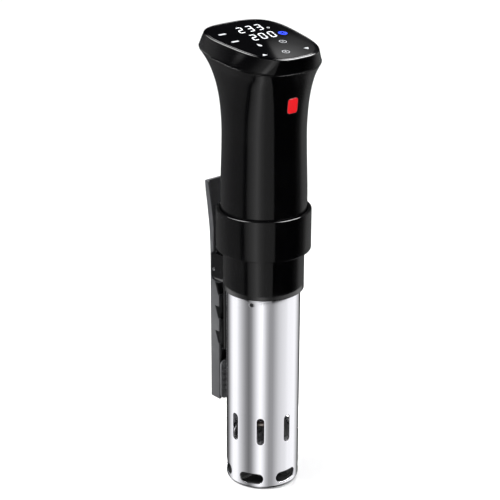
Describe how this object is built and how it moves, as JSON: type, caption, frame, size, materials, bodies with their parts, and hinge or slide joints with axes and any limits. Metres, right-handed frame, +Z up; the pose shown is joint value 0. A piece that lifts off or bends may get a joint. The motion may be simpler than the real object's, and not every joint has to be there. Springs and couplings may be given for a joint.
{
  "type": "sous vide circulator",
  "caption": "Stick immersion circulator: flared handle with a tilted touch panel, swivelling pot clamp, and slotted steel sleeve over heater and pump.",
  "frame": {"origin": "centre of the foot, on the pump shaft's axis", "axes": "+Z up along the shaft, -Y towards the panel's reader, +Y at the clamp, +X to the reader's right"},
  "size_m": [0.0852, 0.099, 0.3796],
  "materials": {
    "gloss_black": "moulded, polished",
    "satin_grey": "moulded, satin",
    "satin_black": "moulded, fine texture",
    "panel_black": "polished lens",
    "red_lens": "translucent, polished",
    "rubber_black": "ribbed, matte",
    "seal_rubber": "smooth",
    "foam_black": "closed-cell foam",
    "brushed_steel": "drawn and polished",
    "heater_steel": "bead blasted",
    "screw_steel": "bright plated",
    "spring_steel": "drawn wire",
    "motor_steel": "zinc plated",
    "laminated_iron": "laminated",
    "magnet_grey": "sintered",
    "cast_aluminium": "as extruded",
    "bush_bronze": "turned",
    "pump_plastic": "moulded",
    "circuit_green": "solder mask",
    "display_grey": "potted",
    "capacitor_sleeve": "shrink sleeve",
    "cable_grey": "flat cable",
    "cable_red": "silicone insulation"
  },
  "bodies": {
    "machine": {"upper_shell": "gloss_black", "head_bezel": "gloss_black", "touch_lens": "panel_black", "lens_gasket": "foam_black", "control_board": "circuit_green", "led_display": "display_grey", "touch_springs": "spring_steel", "buzzer": "satin_black", "board_posts": "satin_black", "board_screws": "screw_steel", "indicator_lens": "red_lens", "indicator_lamp": "circuit_green", "power_board": "circuit_green", "power_transformer": "laminated_iron", "filter_capacitor": "capacitor_sleeve", "power_relay": "satin_black", "heat_sink": "cast_aluminium", "ribbon_cable": "cable_grey", "heater_leads": "cable_red", "cord_gland": "rubber_black", "lower_housing": "gloss_black", "shell_screws": "screw_steel", "sleeve_spigot": "satin_black", "spigot_screws": "screw_steel", "sleeve_o_ring": "seal_rubber", "collar_friction_ring": "seal_rubber", "collar_retaining_clip": "spring_steel", "motor_mount": "cast_aluminium", "mount_screws": "screw_steel", "motor_screws": "screw_steel", "motor_can": "motor_steel", "motor_magnets": "magnet_grey", "motor_end_bell": "satin_black", "base_plate": "brushed_steel", "plate_screws": "screw_steel", "pump_tube": "brushed_steel", "pump_cowl": "pump_plastic", "shaft_bushes": "bush_bronze", "shaft_seal": "seal_rubber", "heater_element": "heater_steel", "heater_ferrules": "bush_bronze", "temperature_probe": "brushed_steel", "level_electrodes": "brushed_steel"},
    "swivel": {"clamp_collar": "gloss_black", "hinge_pin": "screw_steel", "torsion_spring": "spring_steel"},
    "jaw": {"clamp_lever": "satin_grey", "lever_pad": "rubber_black"},
    "pump": {"rotor_shaft": "screw_steel", "rotor_core": "laminated_iron", "shaft_coupling": "bush_bronze", "drive_shaft": "brushed_steel", "impeller_clip": "spring_steel", "impeller": "pump_plastic"},
    "shroud": {"sleeve": "brushed_steel", "sleeve_pins": "screw_steel", "foot_cap": "satin_black"}
  },
  "joints": [
    {"name": "collar_turn", "type": "hinge", "parent": "machine", "child": "swivel", "pos_m": [0, 0, 0.222], "axis": [0, 0, 1], "continuous": true},
    {"name": "jaw_open", "type": "hinge", "parent": "swivel", "child": "jaw", "pos_m": [0, 0.0455, 0.1756], "axis": [1, 0, 0], "range_deg": [0, 10], "stiffness_Nm_per_rad": 0.5, "springref_deg": -17.19, "deforming": ["torsion_spring"]},
    {"name": "pump_spin", "type": "hinge", "parent": "machine", "child": "pump", "pos_m": [0, 0, 0.1], "axis": [0, 0, 1], "continuous": true},
    {"name": "sleeve_pull", "type": "slide", "parent": "machine", "child": "shroud", "axis": [0, 0, -1], "range_m": [0, 0.18]}
  ]
}
